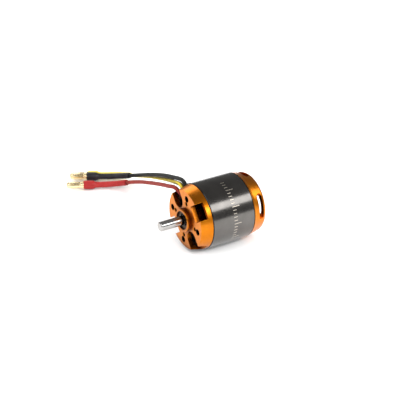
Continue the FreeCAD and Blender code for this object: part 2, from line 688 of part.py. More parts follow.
def connector(doc, d, colour, end, direction):
    """A slotted bullet connector, turned about its own axis, with its solder cup at the lead."""
    body = new_body(doc, f"connector_{colour}")
    flange = -(d.cup_length + d.collar_width)
    tip = -(d.cup_length + d.pin_length)
    collar = d.pin_bulge + d.collar_rise
    neck = d.pin_radius - d.collar_rise
    neck_end = flange - d.neck_length
    nose_start = tip + d.nose_length
    revolve(body, (
        (0, 0), (d.cup_radius, 0), (d.cup_radius, -d.cup_length), (collar, -d.cup_length),
        (collar, flange), (neck, flange), (neck, neck_end), (d.pin_radius, neck_end - d.neck_length),
        (d.pin_bulge, flange - d.bulge_place), (d.pin_radius, nose_start), (neck, tip + d.nose_chamfer),
        (neck - d.nose_chamfer, tip), (0, tip)))
    slit_end = flange - d.slit_start
    beyond = tip - OVERSHOOT
    half = d.slit_width / 2
    reach = d.pin_bulge + OVERSHOOT
    for name, role in (("first_slit", "XY_Plane"), ("second_slit", "YZ_Plane")):
        sketch = new_sketch(body, f"{name}_outline", role)
        if role == "XY_Plane":
            draw_polygon(sketch, ((-half, slit_end), (half, slit_end), (half, beyond), (-half, beyond)))
        else:
            draw_polygon(sketch, ((slit_end, -half), (slit_end, half), (beyond, half), (beyond, -half)))
        add_feature(body, "PartDesign::Pocket", name, sketch, Midplane=True, Length=reach * 2)
    body.Placement = FreeCAD.Placement(end, FreeCAD.Rotation(-AXIAL, direction))
    return body


def solder_joint(doc, d, colour, edges):
    """The taped joint between a lead's inner end and the ends of its winding."""
    start = edges[0].valueAt(edges[0].FirstParameter)
    inward = edges[0].tangentAt(edges[0].FirstParameter) * -1
    joint = doc.addObject("Part::Cylinder", f"joint_{colour}")
    bound(joint, Radius=d.joint_radius, Height=d.joint_length)
    joint.Placement = FreeCAD.Placement(start, FreeCAD.Rotation(UP, inward))
    return joint


def leads(doc, d):
    joints = []
    for colour, points in LEAD_ROUTES.items():
        edges, radii = route_path(points)
        end = V(*points[-1])
        direction = (end - V(*points[-2])).normalize()
        lead(doc, d, colour, edges, radii)
        sleeve(doc, d, colour, edges, end, direction)
        connector(doc, d, colour, end, direction)
        joints.append(solder_joint(doc, d, colour, edges))
    group(doc, "lead_joints", joints)


# ---------------------------------------------------------------- rotor side

def shaft(doc, d):
    body = new_body(doc, "shaft")
    small = d.shaft_radius - d.shaft_chamfer
    front, back = d.shaft_tip + d.shaft_chamfer, d.shaft_end - d.shaft_chamfer
    clip_rear = d.front_bearing
    clip_front = clip_rear - d.clip_thickness
    revolve(body, (
        (0, d.shaft_tip), (small, d.shaft_tip), (d.shaft_radius, front), (d.shaft_radius, clip_front),
        (d.clip_groove, clip_front), (d.clip_groove, clip_rear), (d.shaft_radius, clip_rear),
        (d.shaft_radius, back), (small, d.shaft_end), (0, d.shaft_end)))
    for name, turn in (("first_flat", 0), ("second_flat", 90)):
        sketch = new_sketch(body, f"{name}_outline", "YZ_Plane", offset=d.shaft_radius + 1,
                            turn=(RADIAL, -(d.window_angle + turn)))
        low = d.grub_place - d.flat_length / 2
        high = d.grub_place + d.flat_length / 2
        wide = d.shaft_radius
        draw_polygon(sketch, ((low, -wide), (high, -wide), (high, wide), (low, wide)))
        add_feature(body, "PartDesign::Pocket", name, sketch, Length=d.flat_depth + 1)
    return body


def flux_ring(doc, d):
    body = new_body(doc, "flux_ring")
    bore = d.ring_radius - d.ring_wall
    edge = d.ring_radius - d.ring_chamfer
    revolve(body, (
        (bore, d.ring_front), (edge, d.ring_front), (d.ring_radius, d.ring_front + d.ring_chamfer),
        (d.ring_radius, d.ring_rear - d.ring_chamfer), (edge, d.ring_rear), (bore, d.ring_rear)))
    return body


def magnets(doc, d):
    """Fourteen arc magnets, glued round the inside of the flux ring."""
    body = new_body(doc, "magnets")
    outer = d.ring_radius - d.ring_wall - d.fit_gap
    inner = outer - d.magnet_thickness
    end = d.magnet_front + d.magnet_length
    sketch = new_sketch(body, "magnet_outline", "XY_Plane")
    draw_polygon(sketch, ((inner, d.magnet_front), (outer, d.magnet_front), (outer, end), (inner, end)))
    magnet = add_feature(body, "PartDesign::Revolution", "magnet", sketch, Midplane=True,
                         ReferenceAxis=(sketch, ["V_Axis"]), Angle=d.magnet_angle)
    polar(body, magnet, MAGNET_COUNT, "magnet_ring")
    return body


def rear_cap(doc, d):
    """The rotor's closed end: a spoked plate with a hub, and a tapered side with four windows."""
    body = new_body(doc, "rear_cap")
    plate = d.cap_rear - d.cap_plate
    spigot = d.ring_radius - d.ring_wall - d.fit_gap
    spigot_front = d.ring_rear - d.spigot_depth
    lip = d.ring_rear + d.cap_lip
    bore = d.shaft_radius + d.fit_gap
    revolve(body, (
        (bore, d.hub_front), (d.hub_radius, d.hub_front), (d.hub_radius, plate), (d.cap_bore, plate),
        (d.cap_bore, spigot_front), (spigot, spigot_front), (spigot, lip),
        (d.ring_radius - d.cap_lip_inset, lip), (d.cap_shoulder_radius, d.cap_shoulder),
        (d.cap_rear_radius, d.cap_rear), (bore, d.cap_rear)))
    fillet_edges(body, d.cap_rounding, "rounded_rim", circle_at(d.cap_rear_radius.value, d.cap_rear.value))

    window = new_sketch(body, "window_outline", "YZ_Plane", offset=d.ring_radius + OVERSHOOT,
                        turn=(RADIAL, -d.window_angle))
    half_width = d.window_width / 2
    half_length = d.window_length / 2 - half_width
    draw_slot(window, d.window_centre, -half_length, half_length, half_width)
    pocket = add_feature(body, "PartDesign::Pocket", "window", window,
                         Length=d.ring_radius - d.cap_bore + 2 * OVERSHOOT)
    polar(body, pocket, CAP_CUTS, "windows")

    opening = new_sketch(body, "opening_outline", "XY_Plane", turn=(AXIAL, -d.window_angle))
    inside = plate - OVERSHOOT
    outside = d.cap_rear + OVERSHOOT
    draw_polygon(opening, ((d.opening_inner, inside), (d.opening_outer, inside),
                           (d.opening_outer, outside), (d.opening_inner, outside)))
    groove = add_feature(body, "PartDesign::Groove", "opening", opening, Midplane=True,
                         ReferenceAxis=(opening, ["V_Axis"]), Angle=d.opening_span)
    polar(body, groove, CAP_CUTS, "openings")
    fillet_edges(body, d.opening_rounding, "opening_corners", plate_corner(plate.value, d.cap_rear.value))

    spoke_angle = d.window_angle + 180 / CAP_CUTS
    holes = new_sketch(body, "adapter_hole_outline", "XZ_Plane", offset=-(d.cap_rear + OVERSHOOT),
                       turn=(UP, spoke_angle))
    draw_circle(holes, d.adapter_circle / 2, 0, d.adapter_bolt_radius)
    drilled = add_feature(body, "PartDesign::Pocket", "adapter_hole", holes, Reversed=True,
                          Length=d.cap_plate + 2 * OVERSHOOT)
    polar(body, drilled, CAP_CUTS, "adapter_holes")

    for name, turn in (("first_grub_hole", 0), ("second_grub_hole", 90)):
        sketch = new_sketch(body, f"{name}_outline", "YZ_Plane", offset=d.hub_radius + OVERSHOOT,
                            turn=(RADIAL, -(d.window_angle + turn)))
        draw_circle(sketch, d.grub_place, 0, d.grub_radius + d.fit_gap)
        add_feature(body, "PartDesign::Pocket", name, sketch, Length=d.hub_radius)
    return body


def plate_corner(low, high):
    """A test for an edge that runs straight through the cap's rear plate, at an opening's corner."""
    def wanted(edge):
        ends = sorted(vertex.Y for vertex in edge.Vertexes)
        if len(ends) != 2 or not isinstance(edge.Curve, (Part.Line, Part.LineSegment)):
            return False
        return abs(ends[0] - low) < SAME and abs(ends[1] - high) < SAME
    return wanted


def grub_screws(doc, d):
    """Two M3 grub screws, a quarter turn apart, that clamp the hub on the shaft's flats."""
    screws = []
    for index, turn in enumerate((0, 90)):
        stud = doc.addObject("Part::Cylinder", f"grub_{index}")
        bound(stud, Radius=d.grub_radius, Height=d.grub_length)
        socket = doc.addObject("Part::Prism", f"grub_socket_{index}")
        socket.Polygon = 6
        bound(socket, Circumradius=d.socket_radius, Height=d.socket_depth + OVERSHOOT,
              Placement__Base__z=d.grub_length - d.socket_depth)
        screw = cut(doc, f"grub_screw_{index}", stud, socket)
        angle = d.window_angle.value + turn
        out = V(math.cos(math.radians(angle)), 0, math.sin(math.radians(angle)))
        seat = d.shaft_radius - d.flat_depth + d.fit_gap
        base = out * seat.value + AXIAL * d.grub_place.value
        screw.Placement = FreeCAD.Placement(base, FreeCAD.Rotation(UP, out))
        screws.append(screw)
    return group(doc, "grub_screws", screws)


def retaining_ring(doc, d):
    """A C-shaped ring in the shaft's groove, in front of the front bearing."""
    thickness = d.clip_thickness - d.clip_play * 2
    start = d.front_bearing - d.clip_thickness + d.clip_play
    ring = washer(doc, "clip_ring", d.clip_groove + d.clip_play, d.clip_radius, start, thickness)
    gap = doc.addObject("Part::Box", "clip_gap")
    bound(gap, Length=d.clip_opening, Height=d.clip_radius + OVERSHOOT,
          Width=thickness + 2 * OVERSHOOT,
          Placement__Base__x=-(d.clip_opening / 2), Placement__Base__y=start - OVERSHOOT)
    return cut(doc, "retaining_ring", ring, gap)


def rear_spacer(doc, d):
    """The tube between the rear bearing's inner race and the cap's hub."""
    rear_race = d.rear_bearing + d.bearing_width
    bore = d.shaft_radius + d.fit_gap
    washer(doc, "rear_spacer", bore, d.inner_race_radius, rear_race, d.hub_front - rear_race)


# ---------------------------------------------------------------- the whole motor

def build(doc):
    d = Sizes(doc)
    front_mount(doc, d)
    bearing(doc, d, "front", d.front_bearing)
    bearing(doc, d, "rear", d.rear_bearing)
    lamination(doc, d, "stator_core", d.core_radius, d.tooth_width, d.core_front, d.core_length)
    for side, start in (("front", d.core_front - d.insulator_thickness),
                        ("rear", d.core_front + d.core_length)):
        lamination(doc, d, f"stator_insulator_{side}", d.insulator_radius,
                   d.tooth_width + d.insulator_wrap, start, d.insulator_thickness)
    windings(doc, d)
    leads(doc, d)
    shaft(doc, d)
    flux_ring(doc, d)
    magnets(doc, d)
    rear_cap(doc, d)
    grub_screws(doc, d)
    retaining_ring(doc, d)
    rear_spacer(doc, d)
    doc.recompute()


NODES = (
    "front_mount", "front_bearing_outer_race", "front_bearing_shields", "front_bearing_inner_race",
    "front_bearing_balls", "front_bearing_cage", "rear_bearing_outer_race", "rear_bearing_shields",
    "rear_bearing_inner_race", "rear_bearing_balls", "rear_bearing_cage", "stator_core",
    "stator_insulator_front", "stator_insulator_rear", "winding_phase_a", "winding_phase_b",
    "winding_phase_c", "lead_joints", "lead_black", "lead_red", "lead_yellow", "sleeve_black",
    "sleeve_red", "sleeve_yellow", "connector_black", "connector_red", "connector_yellow", "shaft",
    "flux_ring", "magnets", "rear_cap", "grub_screws", "retaining_ring", "rear_spacer")

CUTTING = ("PartDesign::Pocket", "PartDesign::Groove", "PartDesign::Hole")


def check(doc):
    """Stop on a failed object, a feature that cuts nothing, or an empty or invalid sub-part."""
    for obj in doc.Objects:
        if "Invalid" in obj.State or "Error" in obj.State:
            raise RuntimeError(f"{obj.Name} failed: {obj.State}")
        if obj.TypeId in CUTTING and obj.BaseFeature:
            removed = obj.BaseFeature.Shape.Volume - obj.Shape.Volume
            if removed < 1e-3:
                raise RuntimeError(f"{obj.Name} cuts nothing")
    for node in NODES:
        shape = doc.getObject(node).Shape
        if shape.isNull() or not shape.isValid():
            raise RuntimeError(f"{node} has no valid shape")


def write(doc):
    os.makedirs("parts", exist_ok=True)
    for node in NODES:
        shape = doc.getObject(node).Shape
        shape.exportStep(f"parts/{node}.step")
        print(f"{node}: {len(shape.Solids)} solids, {shape.Volume:.1f} mm3")


def main():
    doc = FreeCAD.newDocument("OutrunnerMotor")
    build(doc)
    check(doc)
    write(doc)


main()
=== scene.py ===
"""A brushless outrunner motor: its look, its leads and its studio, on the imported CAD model."""
import json
import math

import bpy
import numpy as np
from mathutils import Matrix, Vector


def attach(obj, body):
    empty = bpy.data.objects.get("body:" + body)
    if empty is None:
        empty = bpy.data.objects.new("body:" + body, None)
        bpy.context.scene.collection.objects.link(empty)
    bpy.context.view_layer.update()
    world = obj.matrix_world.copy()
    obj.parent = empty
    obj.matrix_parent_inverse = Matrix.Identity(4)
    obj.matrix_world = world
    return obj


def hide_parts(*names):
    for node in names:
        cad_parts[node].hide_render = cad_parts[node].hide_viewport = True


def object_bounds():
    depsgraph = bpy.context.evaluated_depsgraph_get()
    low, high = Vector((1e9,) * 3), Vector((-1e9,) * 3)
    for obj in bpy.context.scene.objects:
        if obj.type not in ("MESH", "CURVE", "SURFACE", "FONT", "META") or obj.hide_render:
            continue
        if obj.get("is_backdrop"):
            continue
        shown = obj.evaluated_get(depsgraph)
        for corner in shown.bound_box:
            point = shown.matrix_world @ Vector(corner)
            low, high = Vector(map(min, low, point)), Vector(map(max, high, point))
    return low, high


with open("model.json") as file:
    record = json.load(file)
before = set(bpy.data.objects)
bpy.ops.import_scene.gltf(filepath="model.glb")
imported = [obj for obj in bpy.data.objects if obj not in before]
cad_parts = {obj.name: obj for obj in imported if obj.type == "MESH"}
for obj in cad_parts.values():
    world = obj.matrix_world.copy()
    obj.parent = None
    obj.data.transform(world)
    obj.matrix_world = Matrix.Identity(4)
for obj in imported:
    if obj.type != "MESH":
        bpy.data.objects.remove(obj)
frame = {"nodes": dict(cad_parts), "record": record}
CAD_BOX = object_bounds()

MM = 0.001

# ---------------------------------------------------------------- camera

CAMERA_PLACE = Vector((0.4100, -0.2441, 0.2584))
CAMERA_AIM = Vector((-0.7555, 0.4665, -0.4599))
CAMERA_LENS = 95.1


def add_camera():
    data = bpy.data.cameras.new("camera")
    data.lens = CAMERA_LENS
    data.clip_start = 0.01
    data.clip_end = 50
    camera = bpy.data.objects.new("camera", data)
    camera.location = CAMERA_PLACE
    camera.rotation_mode = "QUATERNION"
    camera.rotation_quaternion = CAMERA_AIM.to_track_quat("-Z", "Y")
    bpy.context.scene.collection.objects.link(camera)
    bpy.context.scene.camera = camera


# ---------------------------------------------------------------- materials

class Surface:
    """A Principled material, with short calls that add its nodes."""

    def __init__(self, name, values):
        self.material = bpy.data.materials.new(name)
        self.material.use_nodes = True
        self.tree = self.material.node_tree
        self.shader = self.tree.nodes["Principled BSDF"]
        for socket, value in values.items():
            self.shader.inputs[socket].default_value = value
        self.place = self.add("ShaderNodeTexCoord").outputs["Object"]

    def add(self, kind, inputs=None, **settings):
        node = self.tree.nodes.new(kind)
        for name, value in settings.items():
            setattr(node, name, value)
        for name, value in (inputs or {}).items():
            self.feed(node.inputs[name], value)
        return node

    def feed(self, socket, value):
        if isinstance(value, bpy.types.NodeSocket):
            self.tree.links.new(value, socket)
        else:
            socket.default_value = value

    def set(self, name, value):
        self.feed(self.shader.inputs[name], value)

    def maths(self, operation, first, second=0.0, third=0.0):
        values = {0: first, 1: second, 2: third} if operation == "MULTIPLY_ADD" else {0: first, 1: second}
        return self.add("ShaderNodeMath", values, operation=operation).outputs[0]

    def noise(self, size, detail=2.0, where=None):
        """A soft pattern from 0 to 1 whose lumps are about size metres across."""
        inputs = {"Vector": where or self.place, "Scale": 1 / size, "Detail": detail}
        return self.add("ShaderNodeTexNoise", inputs).outputs["Fac"]

    def lines(self, along, size):
        """An uneven pattern of fine lines across a distance in metres."""
        return self.add("ShaderNodeTexNoise", {"W": along, "Scale": 1 / size, "Detail": 2.0},
                        noise_dimensions="1D").outputs["Fac"]

    def spread(self, value, low, high):
        """A pattern from 0 to 1, moved to the range from low to high."""
        return self.maths("MULTIPLY_ADD", value, high - low, low)

    def ramp(self, value, stops):
        node = self.add("ShaderNodeValToRGB", {"Fac": value})
        while len(node.color_ramp.elements) < len(stops):
            node.color_ramp.elements.new(0.5)
        for element, (place, colour) in zip(node.color_ramp.elements, stops):
            element.position = place
            element.color = (*colour, 1)
        return node.outputs["Color"]

    def mix(self, share, first, second):
        node = self.add("ShaderNodeMix", {0: share, 6: first, 7: second}, data_type="RGBA")
        return node.outputs[2]

    def relief(self, *layers, edge=0.0):
        """Bumps in layers of (pattern, height in metres), on edges rounded to the radius edge."""
        normal = None
        if edge:
            normal = self.add("ShaderNodeBevel", {"Radius": edge}, samples=4).outputs["Normal"]
        for pattern, height in layers:
            inputs = {"Height": pattern, "Distance": height, "Strength": 1.0}
            if normal:
                inputs["Normal"] = normal
            normal = self.add("ShaderNodeBump", inputs).outputs["Normal"]
        self.set("Normal", normal)

    def turned(self):
        """A distance that grows outwards on a face and along the axis on a side, for a lathe's marks."""
        split = self.add("ShaderNodeSeparateXYZ", {"Vector": self.place})
        x, y, z = split.outputs
        squares = self.maths("ADD", self.maths("MULTIPLY", x, x), self.maths("MULTIPLY", z, z))
        return self.maths("ADD", self.maths("SQRT", squares), y)

    def openness_for_painted_shade(self, reach):
        """1 in the open, falling to 0 in recesses narrower than reach metres: the mask for painted shade in
        recesses.
        """
        node = self.add("ShaderNodeAmbientOcclusion", {"Distance": reach}, samples=8)
        return self.maths("POWER", node.outputs["AO"], 2.2)

    def round_the_axis(self):
        """Turning marks stretch the highlights across them."""
        tangent = self.add("ShaderNodeTangent", direction_type="RADIAL", axis="Y")
        self.set("Tangent", tangent.outputs["Tangent"])


# The mounting holes: the angle of the first, the radius of each circle of holes and how far its holes'
# painted shade reaches, and the depth that the painted shade reaches behind the mounting face.
HOLE_ANGLE = math.radians(82)
HOLE_CIRCLES = ((12.5 * MM, 1.72 * MM), (9.5 * MM, 1.0 * MM))
HOLE_DEPTH = 3 * MM
HOLE_SPACING = math.pi / 2
CAP_FRONT = 31 * MM  # the cap's recesses, behind this, get no painted shade


def painted_hole_shade(surface):
    """1 in the mounting holes and out over most of their countersinks, where their shade is painted dark, and
    0 elsewhere.
    """
    x, y, z = surface.add("ShaderNodeSeparateXYZ", {"Vector": surface.place}).outputs
    angle = surface.maths("SUBTRACT", surface.maths("ARCTAN2", z, x), HOLE_ANGLE)
    turn = surface.maths("PINGPONG", angle, HOLE_SPACING / 2)
    reach = surface.maths("SQRT", surface.maths("ADD", surface.maths("MULTIPLY", x, x),
                                                surface.maths("MULTIPLY", z, z)))
    out = surface.maths("MULTIPLY", reach, surface.maths("COSINE", turn))
    aside = surface.maths("MULTIPLY", reach, surface.maths("SINE", turn))
    found = 0.0
    for circle, radius in HOLE_CIRCLES:
        off = surface.maths("SUBTRACT", out, circle)
        squares = surface.maths("ADD", surface.maths("MULTIPLY", off, off),
                                surface.maths("MULTIPLY", aside, aside))
        near = surface.maths("LESS_THAN", surface.maths("SQRT", squares), radius)
        found = surface.maths("MAXIMUM", near, found)
    return surface.maths("MULTIPLY", found, surface.maths("LESS_THAN", y, HOLE_DEPTH))


def orange_anodised():
    surface = Surface("orange_anodised", {
        "Metallic": 1.0, "Anisotropic": 0.25, "Coat Weight": 0.12, "Coat Roughness": 0.2, "Coat IOR": 1.5})
    patches = surface.noise(9 * MM, 3)
    dye = surface.ramp(patches, ((0.25, (0.54, 0.152, 0.003)), (0.75, (0.64, 0.195, 0.006))))
    y = surface.add("ShaderNodeSeparateXYZ", {"Vector": surface.place}).outputs["Y"]
    # Painted shade: recesses turn nearly black by ambient occlusion, except on the cap behind CAP_FRONT.
    free_of_painted_shade = surface.maths("MAXIMUM", surface.openness_for_painted_shade(7 * MM), surface.maths("GREATER_THAN", y, CAP_FRONT))
    dye_with_painted_shade = surface.mix(free_of_painted_shade, (0.035, 0.004, 0.001, 1), dye)
    # Painted shade: the mounting holes and most of their countersinks are painted nearly black.
    surface.set("Base Color", surface.mix(painted_hole_shade(surface), dye_with_painted_shade, (0.010, 0.006, 0.004, 1)))
    surface.set("Roughness", surface.spread(surface.noise(2.5 * MM, 4), 0.22, 0.38))
    marks = surface.lines(surface.turned(), 0.16 * MM)
    surface.relief((marks, 0.004 * MM), (surface.noise(0.12 * MM, 2), 0.006 * MM), edge=0.16 * MM)
    surface.round_the_axis()
    return surface.material


# The rotor carries a plain etched scale: short marks round the ring, every fifth one longer.
SCALE_START = 19.0 * MM
SCALE_SHORT = 21.0 * MM
SCALE_LONG = 23.2 * MM
SCALE_FIRST, SCALE_LAST = math.radians(-42), math.radians(80)
SCALE_STEP = math.radians(6)
SCALE_LONG_EVERY = 5
SCALE_HALF = 0.11  # half of a mark's width, as a share of the step between marks
RING_FRONT, RING_GAP_SHADE = 6.7 * MM, 0.3 * MM  # the ring's front end, and the band along it painted dark as the shade of the gap at the mount


def between(surface, value, low, high):
    """1 where low < value < high, and 0 elsewhere."""
    above = surface.maths("GREATER_THAN", value, low)
    return surface.maths("MULTIPLY", above, surface.maths("LESS_THAN", value, high))


def etched_scale(surface):
    x, y, z = surface.add("ShaderNodeSeparateXYZ", {"Vector": surface.place}).outputs
    angle = surface.maths("ARCTAN2", z, x)
    inside = between(surface, angle, SCALE_FIRST, SCALE_LAST)
    half_mark = SCALE_STEP * SCALE_HALF
    short = between(surface, surface.maths("PINGPONG", angle, SCALE_STEP / 2), -1, half_mark)
    half_long_step = SCALE_STEP * SCALE_LONG_EVERY / 2
    long = between(surface, surface.maths("PINGPONG", angle, half_long_step), -1, half_mark)
    short = surface.maths("MULTIPLY", short, between(surface, y, SCALE_START, SCALE_SHORT))
    long = surface.maths("MULTIPLY", long, between(surface, y, SCALE_START, SCALE_LONG))
    marks = surface.maths("MAXIMUM", short, long)
    worn = surface.spread(surface.noise(0.35 * MM, 3), 0.5, 1.0)
    return surface.maths("MULTIPLY", surface.maths("MULTIPLY", marks, inside), worn)


def rotor_steel():
    surface = Surface("rotor_steel", {"Metallic": 1.0, "Anisotropic": 0.55, "Coat Weight": 0.15,
                                      "Coat Roughness": 0.12})
    etched = etched_scale(surface)
    plated = surface.ramp(surface.noise(6 * MM, 4), (
        (0.3, (0.118, 0.112, 0.105)), (0.7, (0.148, 0.140, 0.132))))
    y = surface.add("ShaderNodeSeparateXYZ", {"Vector": surface.place}).outputs["Y"]
    # Painted shade: a narrow band at the ring's front end is painted dark for the gap between mount and ring.
    front = surface.maths("LESS_THAN", y, RING_FRONT + RING_GAP_SHADE)
    darker = surface.mix(front, plated, (0.05, 0.048, 0.046, 1))
    surface.set("Base Color", surface.mix(etched, darker, (0.62, 0.56, 0.47, 1)))
    fine = surface.spread(surface.lines(surface.turned(), 0.3 * MM), 0.12, 0.20)
    surface.set("Roughness", surface.maths("MULTIPLY_ADD", etched, 0.3, fine))
    marks = surface.lines(surface.turned(), 0.12 * MM)
    surface.relief((marks, 0.003 * MM), (etched, -0.01 * MM), edge=0.08 * MM)
    surface.round_the_axis()
    return surface.material


def bare_steel(name, colour, roughness, mark_size, mark_height, edge):
    """Ground or turned steel, bright or plated, with painted shade in its recesses."""
    surface = Surface(name, {"Metallic": 1.0, "Anisotropic": 0.4})
    darker = tuple(c * 0.82 for c in colour)
    steel = surface.ramp(surface.noise(2 * MM, 4), ((0.3, darker), (0.65, colour)))
    # Painted shade: the steel goes nearly black in recesses, by ambient occlusion.
    surface.set("Base Color", surface.mix(surface.openness_for_painted_shade(3 * MM), (0.008, 0.007, 0.006, 1), steel))
    surface.set("Roughness", surface.spread(surface.noise(0.9 * MM, 4), roughness * 0.75, roughness * 1.3))
    surface.relief((surface.lines(surface.turned(), mark_size), mark_height), edge=edge)
    surface.round_the_axis()
    return surface.material


def lamination():
    surface = Surface("lamination", {"Metallic": 0.8})
    y = surface.add("ShaderNodeSeparateXYZ", {"Vector": surface.place}).outputs["Y"]
    sheets = surface.maths("PINGPONG", y, 0.175 * MM)
    seam = surface.maths("LESS_THAN", sheets, 0.03 * MM)
    steel = surface.ramp(surface.noise(0.8 * MM, 4), ((0.3, (0.12, 0.11, 0.105)), (0.7, (0.24, 0.225, 0.21))))
    surface.set("Base Color", surface.mix(seam, steel, (0.02, 0.018, 0.016, 1)))
    surface.set("Roughness", surface.spread(surface.noise(1.2 * MM, 3), 0.35, 0.6))
    surface.relief((seam, -0.02 * MM), (surface.noise(0.2 * MM), 0.01 * MM))
    return surface.material


def enamelled_copper():
    surface = Surface("copper", {"Metallic": 1.0, "Coat Weight": 0.8, "Coat Roughness": 0.12})
    surface.set("Base Color", surface.ramp(surface.noise(1.5 * MM, 4), (
        (0.25, (0.30, 0.085, 0.025)), (0.75, (0.52, 0.17, 0.055)))))
    surface.set("Roughness", surface.spread(surface.noise(0.6 * MM, 3), 0.22, 0.45))
    surface.relief((surface.noise(0.3 * MM, 3), 0.008 * MM))
    return surface.material


def magnet_nickel():
    surface = Surface("magnet", {"Metallic": 1.0})
    surface.set("Base Color", surface.ramp(surface.noise(3 * MM, 4), (
        (0.3, (0.36, 0.35, 0.34)), (0.7, (0.50, 0.49, 0.47)))))
    surface.set("Roughness", surface.spread(surface.noise(0.5 * MM, 4), 0.28, 0.5))
    surface.relief((surface.noise(0.25 * MM, 3), 0.01 * MM), edge=0.12 * MM)
    return surface.material


def insulator():
    surface = Surface("insulator", {"Specular IOR Level": 0.4})
    surface.set("Base Color", surface.ramp(surface.noise(1.2 * MM, 4), (
        (0.3, (0.020, 0.022, 0.026)), (0.7, (0.050, 0.052, 0.058)))))
    surface.set("Roughness", surface.spread(surface.noise(0.4 * MM, 3), 0.5, 0.75))
    surface.relief((surface.noise(0.15 * MM, 3), 0.015 * MM), edge=0.1 * MM)
    return surface.material


def tape():
    """Glass-cloth tape, wound in overlapping turns."""
    surface = Surface("tape", {"Sheen Weight": 0.2})
    weave = surface.add("ShaderNodeTexWave", {
        "Vector": surface.place, "Scale": 0.7 / MM, "Distortion": 1.5}).outputs["Fac"]
    surface.set("Base Color", surface.ramp(weave, ((0.2, (0.40, 0.28, 0.09)), (0.8, (0.62, 0.46, 0.18)))))
    surface.set("Roughness", surface.spread(surface.noise(0.3 * MM, 3), 0.6, 0.85))
    surface.relief((weave, 0.03 * MM), (surface.noise(0.2 * MM), 0.02 * MM))
    return surface.material


def silicone(name, dark, light):
    """The soft, slightly dusty skin of a silicone lead, with painted shade in its recesses."""
    surface = Surface(name, {"Sheen Weight": 0.04, "Sheen Roughness": 0.5, "Specular IOR Level": 0.14})
    skin = surface.ramp(surface.noise(3 * MM, 5), ((0.3, dark), (0.7, light)))
    shade = tuple(c * 0.04 for c in dark)
    # Painted shade: the skin goes nearly black in recesses, by ambient occlusion.
    surface.set("Base Color", surface.mix(surface.openness_for_painted_shade(7 * MM), (*shade, 1), skin))
    surface.set("Roughness", surface.spread(surface.noise(1.5 * MM, 4), 0.50, 0.66))
    surface.relief((surface.noise(1.8 * MM, 2), 0.02 * MM), (surface.noise(0.12 * MM, 2), 0.004 * MM))
    return surface.material


def heat_shrink(name, dark, light):
    """Satin plastic film with the faint ripples that shrinking leaves."""
    surface = Surface(name, {"Specular IOR Level": 0.25})
    surface.set("Base Color", surface.ramp(surface.noise(4 * MM, 4), ((0.3, dark), (0.7, light))))
    surface.set("Roughness", surface.spread(surface.noise(1.2 * MM, 4), 0.30, 0.48))
    surface.relief((surface.noise(1.1 * MM, 3), 0.05 * MM), (surface.noise(0.2 * MM, 2), 0.006 * MM))
    return surface.material


def gold():
    surface = Surface("gold", {"Metallic": 1.0})
    surface.set("Base Color", surface.ramp(surface.noise(1.5 * MM, 4), (
        (0.3, (0.90, 0.70, 0.38)), (0.7, (0.97, 0.82, 0.52)))))
    surface.set("Roughness", surface.spread(surface.noise(0.6 * MM, 4), 0.20, 0.32))
    surface.relief((surface.noise(0.3 * MM, 3), 0.006 * MM), edge=0.06 * MM)
    return surface.material


BLACK_SKIN = ((0.008, 0.008, 0.007), (0.018, 0.018, 0.015))
RED_SKIN = ((0.20, 0.018, 0.012), (0.28, 0.032, 0.022))
YELLOW_SKIN = ((0.62, 0.46, 0.025), (0.74, 0.57, 0.05))
BLACK_FILM = ((0.012, 0.011, 0.012), (0.024, 0.022, 0.025))
RED_FILM = ((0.28, 0.012, 0.012), (0.37, 0.022, 0.020))
YELLOW_FILM = ((0.56, 0.44, 0.03), (0.68, 0.55, 0.06))


def make_materials():
    return {
        "orange_anodised": orange_anodised(),
        "rotor_steel": rotor_steel(),
        "shaft_steel": bare_steel(
            "shaft_steel", (0.47, 0.455, 0.44), 0.17, 0.1 * MM, 0.002 * MM, 0.05 * MM),
        "bearing_steel": bare_steel(
            "bearing_steel", (0.34, 0.33, 0.32), 0.26, 0.1 * MM, 0.002 * MM, 0.06 * MM),
        "bearing_shield": bare_steel(
            "bearing_shield", (0.17, 0.105, 0.065), 0.42, 0.2 * MM, 0.004 * MM, 0.05 * MM),
        "black_oxide": bare_steel(
            "black_oxide", (0.09, 0.09, 0.095), 0.38, 0.15 * MM, 0.004 * MM, 0.05 * MM),
        "magnet": magnet_nickel(),
        "lamination": lamination(),
        "insulator": insulator(),
        "copper": enamelled_copper(),
        "tape": tape(),
        "gold": gold(),
        "silicone_black": silicone("silicone_black", *BLACK_SKIN),
        "silicone_red": silicone("silicone_red", *RED_SKIN),
        "silicone_yellow": silicone("silicone_yellow", *YELLOW_SKIN),
        "shrink_black": heat_shrink("shrink_black", *BLACK_FILM),
        "shrink_red": heat_shrink("shrink_red", *RED_FILM),
        "shrink_yellow": heat_shrink("shrink_yellow", *YELLOW_FILM),
    }


def dress_cad_nodes(materials):
    for part in frame["record"]["subparts"]:
        data = frame["nodes"][part["node"]].data
        data.materials.clear()
        data.materials.append(materials[part["material_slot"]])


# ---------------------------------------------------------------- pieces

def add_piece(name, data, body, slot, material, *stands_for):
    """A new piece: its object, its body, its material and the CAD nodes that it stands for."""
    piece = bpy.data.objects.new(name, data)
    bpy.context.scene.collection.objects.link(piece)
    data.materials.append(material)
    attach(piece, body)
    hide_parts(*stands_for)
    return piece


def smooth_mesh(name, points, faces):
    mesh = bpy.data.meshes.new(name)
    mesh.from_pydata([tuple(p) for p in points], [], faces)
    mesh.validate()
    mesh.shade_smooth()
    return mesh


def frames_along(line):
    """Two directions across a line at each point, turned as little as possible from one to the next."""
    tangents = np.gradient(line, axis=0)
    tangents /= np.linalg.norm(tangents, axis=1)[:, None]
    across = np.cross(tangents[0], (0.3, 0.2, 0.93))
    sides = []
    for tangent in tangents:
        across = across - tangent * (across @ tangent)
        across = across / np.linalg.norm(across)
        sides.append((across, np.cross(tangent, across)))
    return sides


